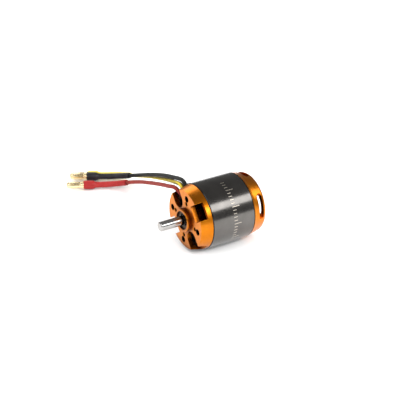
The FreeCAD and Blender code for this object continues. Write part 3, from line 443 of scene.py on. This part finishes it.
def tube_rings(line, radii, sides, wobble=0.0, seed=0):
    """The points of a round tube along a line, with a radius at each point and a little unevenness."""
    turns = np.linspace(0, 2 * math.pi, sides, endpoint=False)
    phases = np.random.default_rng(seed).uniform(0, 2 * math.pi, 4)
    points = []
    for step, (centre, radius, (u, v)) in enumerate(zip(line, radii, frames_along(line))):
        share = step / len(line)
        for turn in turns:
            wave = math.sin(2 * turn + 7 * share + phases[0]) + math.sin(3 * turn - 19 * share + phases[1])
            ripple = math.sin(43 * share + turn + phases[2])
            reach = radius * (1 + wobble * (wave + 0.6 * ripple - 2.6))
            points.append(centre + (u * math.cos(turn) + v * math.sin(turn)) * reach)
    return points


def ring_faces(rings, sides, start=0):
    """Quads between neighbouring rings of points."""
    faces = []
    for ring in range(rings - 1):
        for side in range(sides):
            here = start + ring * sides
            after = (side + 1) % sides
            faces.append((here + side, here + after, here + sides + after, here + sides + side))
    return faces


def close_ends(faces, rings, sides):
    """Flat faces over the two ends of a tube."""
    last = (rings - 1) * sides
    faces.append(tuple(reversed(range(sides))))
    faces.append(tuple(range(last, last + sides)))


# ---------------------------------------------------------------- leads

LEAD_DIAMETER = 2.2 * MM
# Each lead's route in millimetres, from behind the mounting plate to its connector, as in the CAD source.
LEAD_ROUTES = {
    "red": (
        (-6.4, 5.1, 7.0), (-8.7, 4.0, 8.6), (-10.9, 2.8, 11.1), (-14.3, 2.2, 12.1), (-20.0, 2.3, 10.0),
        (-29.0, 3.2, 6.9), (-41.5, 4.3, 2.2), (-54.5, 5.1, -2.8), (-67.0, 6.0, -8.3), (-76.0, 5.6, -12.5),
        (-82.4, 1.0, -14.8), (-85.6, -5.0, -15.05), (-88.4, -11.1, -14.75)),
    "yellow": (
        (-4.2, 5.2, 8.8), (-6.7, 5.1, 10.5), (-9.3, 4.6, 12.9), (-12.7, 4.6, 14.0), (-19.0, 6.0, 11.7),
        (-27.5, 7.8, 8.7), (-37.0, 9.7, 5.2), (-47.5, 12.0, 0.8), (-59.0, 13.7, -3.6), (-71.5, 14.8, -8.6),
        (-83.5, 13.4, -12.9), (-91.4, 9.9, -14.95), (-95.4, 3.4, -15.1), (-98.9, -3.3, -14.9)),
    "black": (
        (-1.7, 5.2, 10.9), (-4.8, 5.2, 12.05), (-7.4, 5.2, 14.65), (-10.6, 5.5, 16.4), (-15.8, 6.1, 15.3),
        (-22.5, 7.0, 12.9), (-31.5, 7.9, 9.9), (-42.0, 9.1, 5.8), (-54.5, 10.1, 0.5), (-67.5, 11.0, -5.4),
        (-78.8, 10.2, -10.3), (-86.3, 6.7, -12.8), (-90.9, 0.4, -13.4), (-94.4, -6.0, -13.15)),
}


def route_curve(name, points):
    """A smooth curve that its route's points guide."""
    curve = bpy.data.curves.new(name, "CURVE")
    curve.dimensions = "3D"
    curve.resolution_u = 16
    spline = curve.splines.new("NURBS")
    spline.points.add(len(points) - 1)
    for point, place in zip(spline.points, points):
        point.co = (*(c * MM for c in place), 1)
    spline.order_u = 3
    spline.use_endpoint_u = True
    return curve


def curve_points(curve):
    """The points that a curve with no thickness runs through."""
    bare = bpy.data.objects.new("bare", curve.copy())
    bare.data.bevel_depth = 0
    mesh = bpy.data.meshes.new_from_object(bare)
    line = np.array([v.co for v in mesh.vertices])
    bpy.data.meshes.remove(mesh)
    bpy.data.curves.remove(bare.data)
    return line


SLEEVE_SIDES = 28
SLEEVE_LENGTH = 27.0 * MM
SLEEVE_WIDE, SLEEVE_NARROW = 2.57 * MM, 1.75 * MM
SLEEVE_FRONT_BORE, SLEEVE_REAR_BORE = 1.93 * MM, 1.13 * MM
CUP_LENGTH = 3.6 * MM
SLEEVE_SHOULDER = 2.6 * MM
SHOULDER_SOFTNESS = 0.42 * MM
FRONT_LIP, REAR_LIP, LIP_LENGTH = 0.16 * MM, 0.10 * MM, 0.5 * MM
SLEEVE_STEP = 0.25 * MM
SLEEVE_UNEVENNESS = 0.007


def sleeve_profile(distance):
    """The sleeve's outer radius at a distance from its front end: wide, a soft shoulder, then narrow."""
    edge = CUP_LENGTH + SLEEVE_SHOULDER
    share = 1 / (1 + math.exp(-(distance - edge) / SHOULDER_SOFTNESS))
    front_lip = FRONT_LIP * math.exp(-distance / LIP_LENGTH)
    rear = SLEEVE_LENGTH - distance
    rear_lip = REAR_LIP * math.exp(-rear / LIP_LENGTH)
    return SLEEVE_WIDE + (SLEEVE_NARROW - SLEEVE_WIDE) * share - front_lip - rear_lip


def sleeve_line(line):
    """The middle of a sleeve, from over the connector's cup back along its lead."""
    direction = (line[-1] - line[-2]) / np.linalg.norm(line[-1] - line[-2])
    whole = np.vstack([line, line[-1] + direction * CUP_LENGTH])[::-1]
    along = np.concatenate([[0], np.cumsum(np.linalg.norm(np.diff(whole, axis=0), axis=1))])
    steps = np.arange(0, SLEEVE_LENGTH + SLEEVE_STEP / 2, SLEEVE_STEP)
    return np.stack([np.interp(steps, along, whole[:, k]) for k in range(3)], axis=1), steps


def sleeve_mesh(name, line, seed):
    """Heat-shrink film: an outer skin that turns in over both ends to a short inner wall."""
    middle, steps = sleeve_line(line)
    outer = [sleeve_profile(step) for step in steps]
    points = tube_rings(middle, outer, SLEEVE_SIDES, SLEEVE_UNEVENNESS, seed)
    faces = ring_faces(len(steps), SLEEVE_SIDES)
    rings = len(steps)
    front = tube_rings(middle[:3], [SLEEVE_FRONT_BORE] * 3, SLEEVE_SIDES)
    rear = tube_rings(middle[-3:], [SLEEVE_REAR_BORE] * 3, SLEEVE_SIDES)
    start_front = len(points)
    points += front
    start_rear = len(points)
    points += rear
    faces += [tuple(reversed(face)) for face in ring_faces(3, SLEEVE_SIDES, start_front)]
    faces += [tuple(reversed(face)) for face in ring_faces(3, SLEEVE_SIDES, start_rear)]
    last_outer = (rings - 1) * SLEEVE_SIDES
    last_inner = start_rear + 2 * SLEEVE_SIDES
    for side in range(SLEEVE_SIDES):
        after = (side + 1) % SLEEVE_SIDES
        faces.append((side, start_front + side, start_front + after, after))
        faces.append((last_outer + side, last_outer + after, last_inner + after, last_inner + side))
    return smooth_mesh(name, points, faces)


def add_lead(colour, materials, seed):
    """A lead as a cord, with its sleeve and its bullet plug."""
    name = f"{colour}_lead"
    curve = route_curve(name, LEAD_ROUTES[colour])
    line = curve_points(curve)
    curve.bevel_depth = LEAD_DIAMETER / 2
    curve.bevel_resolution = 8
    curve.use_fill_caps = True
    lead = add_piece(name, curve, "stator", f"silicone_{colour}", materials[f"silicone_{colour}"],
                     f"lead_{colour}")
    sleeve = add_piece(f"{colour}_sleeve", sleeve_mesh(f"{colour}_sleeve", line, seed), "stator",
                       f"shrink_{colour}", materials[f"shrink_{colour}"], f"sleeve_{colour}")
    plug = add_piece(f"{colour}_bullet", bullet_mesh(f"{colour}_bullet", line), "stator", "gold",
                     materials["gold"], f"connector_{colour}")
    exit_point = tuple(c * MM for c in LEAD_ROUTES[colour][0])


# ---------------------------------------------------------------- bullet plugs

CUP_RADIUS = 1.88 * MM
COLLAR_RADIUS = 2.13 * MM
COLLAR_WIDTH = 0.7 * MM
PIN_CORE = 1.42 * MM
SPRING_RADIUS, SPRING_BULGE = 1.74 * MM, 1.94 * MM
SPRING_COUNT = 4
SPRING_SLIT = 0.36 * MM
SPRING_WALL = 0.22 * MM
PIN_LENGTH = 10.0 * MM
NOSE_GAP = 0.2 * MM  # the nose ends this far inside the CAD's
BULLET_SIDES = 48


def revolve_profile(profile, place, sides):
    """A turned solid from (distance along, radius) pairs that start and end on its axis."""
    points = []
    for distance, radius in profile:
        for turn in np.linspace(0, 2 * math.pi, sides, endpoint=False):
            points.append(place(distance, radius, turn))
    faces = ring_faces(len(profile), sides)
    close_ends(faces, len(profile), sides)
    return points, faces


def spring_leaf(start, end, middle_turn, place):
    """One leaf of the spring round a bullet plug: a curved strip that bulges in its middle."""
    steps, sides = 14, 7
    points, faces = [], []
    for layer in (0, SPRING_WALL):
        for step in range(steps + 1):
            share = step / steps
            radius = SPRING_RADIUS + (SPRING_BULGE - SPRING_RADIUS) * math.sin(math.pi * share) ** 0.7 - layer
            half = math.pi / SPRING_COUNT - SPRING_SLIT / 2 / radius
            for side in range(sides + 1):
                turn = middle_turn + half * (2 * side / sides - 1)
                points.append(place(start + (end - start) * share, radius, turn))
    row, layer_size = sides + 1, (steps + 1) * (sides + 1)
    for step in range(steps):
        for side in range(sides):
            a = step * row + side
            faces.append((a, a + 1, a + row + 1, a + row))
            b = a + layer_size
            faces.append((b, b + row, b + row + 1, b + 1))
    for step in range(steps):
        for side, flip in ((0, False), (sides, True)):
            a = step * row + side
            face = (a, a + row, a + row + layer_size, a + layer_size)
            faces.append(tuple(reversed(face)) if flip else face)
    for side in range(sides):
        for step, flip in ((0, True), (steps, False)):
            a = step * row + side
            face = (a, a + 1, a + 1 + layer_size, a + layer_size)
            faces.append(face if not flip else tuple(reversed(face)))
    return points, faces


def bullet_mesh(name, line):
    """A bullet plug: solder cup, collar, core, a ring at each end of the spring, and its leaves."""
    tangent = line[-1] - line[-2]
    tangent /= np.linalg.norm(tangent)
    u = np.cross(tangent, (0, 0, 1))
    u /= np.linalg.norm(u)
    v = np.cross(tangent, u)

    def place(distance, radius, turn):
        return line[-1] + tangent * distance + (u * math.cos(turn) + v * math.sin(turn)) * radius

    collar = CUP_LENGTH + COLLAR_WIDTH
    tip = CUP_LENGTH + PIN_LENGTH - NOSE_GAP
    spring_start, spring_end = collar + 1.3 * MM, tip - 1.5 * MM
    soft = 0.12 * MM
    body = (
        (0.0, 0.02 * MM), (0.0, CUP_RADIUS - soft), (soft, CUP_RADIUS), (CUP_LENGTH - soft, CUP_RADIUS),
        (CUP_LENGTH, COLLAR_RADIUS - soft), (CUP_LENGTH + soft, COLLAR_RADIUS),
        (collar - soft, COLLAR_RADIUS), (collar, COLLAR_RADIUS - soft), (collar + soft, SPRING_RADIUS - soft),
        (collar + 2 * soft, SPRING_RADIUS), (spring_start, SPRING_RADIUS), (spring_start + soft, PIN_CORE),
        (spring_end - soft, PIN_CORE), (spring_end, SPRING_RADIUS),
        (tip - 0.7 * MM, SPRING_RADIUS - 0.05 * MM),
        (tip - 0.3 * MM, SPRING_RADIUS - 0.3 * MM), (tip, SPRING_RADIUS - 0.8 * MM), (tip, 0.02 * MM))
    points, faces = revolve_profile(body, place, BULLET_SIDES)
    for leaf in range(SPRING_COUNT):
        turn = 2 * math.pi * leaf / SPRING_COUNT
        more, quads = spring_leaf(spring_start - soft, spring_end + soft, turn, place)
        faces += [tuple(index + len(points) for index in quad) for quad in quads]
        points += more
    return smooth_mesh(name, points, faces)


# ---------------------------------------------------------------- windings

TOOTH_COUNT = 12
PHASES = {"a": (0, 1, 6, 7), "b": (4, 5, 10, 11), "c": (2, 3, 8, 9)}
WIRE_RADIUS = 0.30 * MM
COIL_INNER, COIL_OUTER = 9.1 * MM, 12.1 * MM
COIL_HALF_INNER, COIL_HALF_OUTER = 2.25 * MM, 3.0 * MM
TOOTH_HALF = 1.78 * MM
CORE_FRONT, CORE_REAR = 10.6 * MM, 27.2 * MM
COIL_GAP = 0.62 * MM
COIL_LAYERS = 4
TURN_STEPS = 36
WIRE_SIDES = 7
LAYER_RISE = 1.9  # wire radii from one layer to the next over the ends
TURN_SQUARENESS = 0.55
WIRE_JITTER = 0.05 * MM


def coil_turns(tooth, layer):
    """The line of one layer of wire round a tooth, wound from end to end of the coil."""
    angle = 2 * math.pi * tooth / TOOTH_COUNT
    outward = np.array((math.cos(angle), 0, math.sin(angle)))
    sideways = np.array((-math.sin(angle), 0, math.cos(angle)))
    axial = np.array((0, 1, 0))
    first = COIL_INNER + WIRE_RADIUS * (1 + layer % 2)
    turns = int((COIL_OUTER - WIRE_RADIUS - first) / (2 * WIRE_RADIUS))
    overhang = COIL_GAP + WIRE_RADIUS * (1.0 + LAYER_RISE * layer)
    middle, half_length = (CORE_FRONT + CORE_REAR) / 2, (CORE_REAR - CORE_FRONT) / 2
    line = []
    for step in range(turns * TURN_STEPS + 1):
        turn = 2 * math.pi * step / TURN_STEPS
        reach = first + 2 * WIRE_RADIUS * step / TURN_STEPS
        share = (reach - COIL_INNER) / (COIL_OUTER - COIL_INNER)
        limit = COIL_HALF_INNER + (COIL_HALF_OUTER - COIL_HALF_INNER) * share - WIRE_RADIUS
        near = min(TOOTH_HALF + WIRE_RADIUS, limit)
        half_width = near + (limit - near) * layer / (COIL_LAYERS - 1)
        c, s = math.cos(turn), math.sin(turn)
        side = half_width * math.copysign(abs(c) ** TURN_SQUARENESS, c)
        end = math.copysign(min(abs(s) ** TURN_SQUARENESS, 1), s) * (half_length + overhang)
        jitter = WIRE_JITTER * math.sin(5.1 * step / TURN_STEPS + 2.3 * tooth + 1.7 * layer)
        line.append(outward * (reach + jitter) + sideways * side + axial * (middle + end))
    return np.array(line)


def winding_mesh(name, teeth):
    points, faces = [], []
    for tooth in teeth:
        for layer in range(COIL_LAYERS):
            line = coil_turns(tooth, layer)
            quads = ring_faces(len(line), WIRE_SIDES)
            close_ends(quads, len(line), WIRE_SIDES)
            faces += [tuple(index + len(points) for index in quad) for quad in quads]
            points += tube_rings(line, [WIRE_RADIUS] * len(line), WIRE_SIDES)
    return smooth_mesh(name, points, faces)


def add_windings(materials):
    for phase, teeth in PHASES.items():
        name = f"wire_phase_{phase}"
        add_piece(name, winding_mesh(name, teeth), "stator", "copper", materials["copper"],
                  f"winding_phase_{phase}")


# ---------------------------------------------------------------- studio

FLOOR_SIZE = 6.0
ROOM_SEEN, ROOM_LIGHT, ROOM_REFLECTED = 1.0, 1.05, 0.24
# Each lamp's name, direction from the motor, distance, size and radiance.
SOFTBOXES = (
    ("strip", (0.65, 0.47, 0.60), 0.6, (0.75, 0.20), 4.8),
    ("rim", (0.73, 0.07, 0.68), 0.6, (0.18, 0.12), 11.0),
    ("front", (0.25, -0.80, 0.62), 1.1, (1.2, 0.9), 1.5),
    ("left", (-0.75, -0.02, 0.62), 1.0, (0.7, 0.6), 3.0),
)
LAMP_AIM = Vector((0, 0.02, 0))


def add_floor(height):
    half = FLOOR_SIZE / 2
    corners = [(-half, -half, height), (half, -half, height), (half, half, height), (-half, half, height)]
    mesh = bpy.data.meshes.new("floor")
    mesh.from_pydata(corners, [], [(0, 1, 2, 3)])
    surface = Surface("floor", {"Roughness": 0.7, "Specular IOR Level": 0.2})
    surface.set("Base Color", surface.ramp(surface.noise(60 * MM, 3), (
        (0.3, (0.94, 0.94, 0.94)), (0.7, (0.96, 0.96, 0.96)))))
    mesh.materials.append(surface.material)
    floor = bpy.data.objects.new("floor", mesh)
    bpy.context.scene.collection.objects.link(floor)
    floor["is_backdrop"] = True


def add_softbox(name, direction, distance, size, radiance):
    """A rectangular lamp that faces the motor, its long side level, as bright as radiance says."""
    data = bpy.data.lights.new(name, "AREA")
    data.shape = "RECTANGLE"
    data.size, data.size_y = size
    data.energy = radiance * math.pi * size[0] * size[1]
    lamp = bpy.data.objects.new(name, data)
    towards = Vector(direction).normalized()
    lamp.location = LAMP_AIM + towards * distance
    lamp.rotation_mode = "QUATERNION"
    lamp.rotation_quaternion = towards.to_track_quat("Z", "Y")
    bpy.context.scene.collection.objects.link(lamp)


def add_world():
    """White to the eye, even white light on dull surfaces, and a grey room for the reflections."""
    world = bpy.data.worlds.new("studio")
    world.use_nodes = True
    tree = world.node_tree
    room = tree.nodes["Background"]
    room.inputs["Color"].default_value = (1, 1, 1, 1)
    path = tree.nodes.new("ShaderNodeLightPath")
    strength = None
    for ray, level in (("Is Camera Ray", ROOM_SEEN), ("Is Diffuse Ray", ROOM_LIGHT)):
        add = tree.nodes.new("ShaderNodeMath")
        add.operation = "MULTIPLY_ADD"
        tree.links.new(path.outputs[ray], add.inputs[0])
        add.inputs[1].default_value = level - ROOM_REFLECTED
        add.inputs[2].default_value = ROOM_REFLECTED
        if strength:
            tree.links.new(strength, add.inputs[2])
        strength = add.outputs[0]
    tree.links.new(strength, room.inputs["Strength"])
    bpy.context.scene.world = world


def add_studio():
    add_floor(CAD_BOX[0].z)
    add_world()
    for name, direction, distance, size, radiance in SOFTBOXES:
        add_softbox(name, direction, distance, size, radiance)
    view = bpy.context.scene.view_settings
    view.view_transform = "Standard"


# ---------------------------------------------------------------- the whole scene

def write_sizes():
    boxes = {"cad": CAD_BOX, "visual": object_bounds()}
    plain = {name: [list(corner) for corner in box] for name, box in boxes.items()}


add_camera()
materials = make_materials()
dress_cad_nodes(materials)
for number, colour in enumerate(LEAD_ROUTES):
    add_lead(colour, materials, number)
add_windings(materials)
add_studio()
write_sizes()
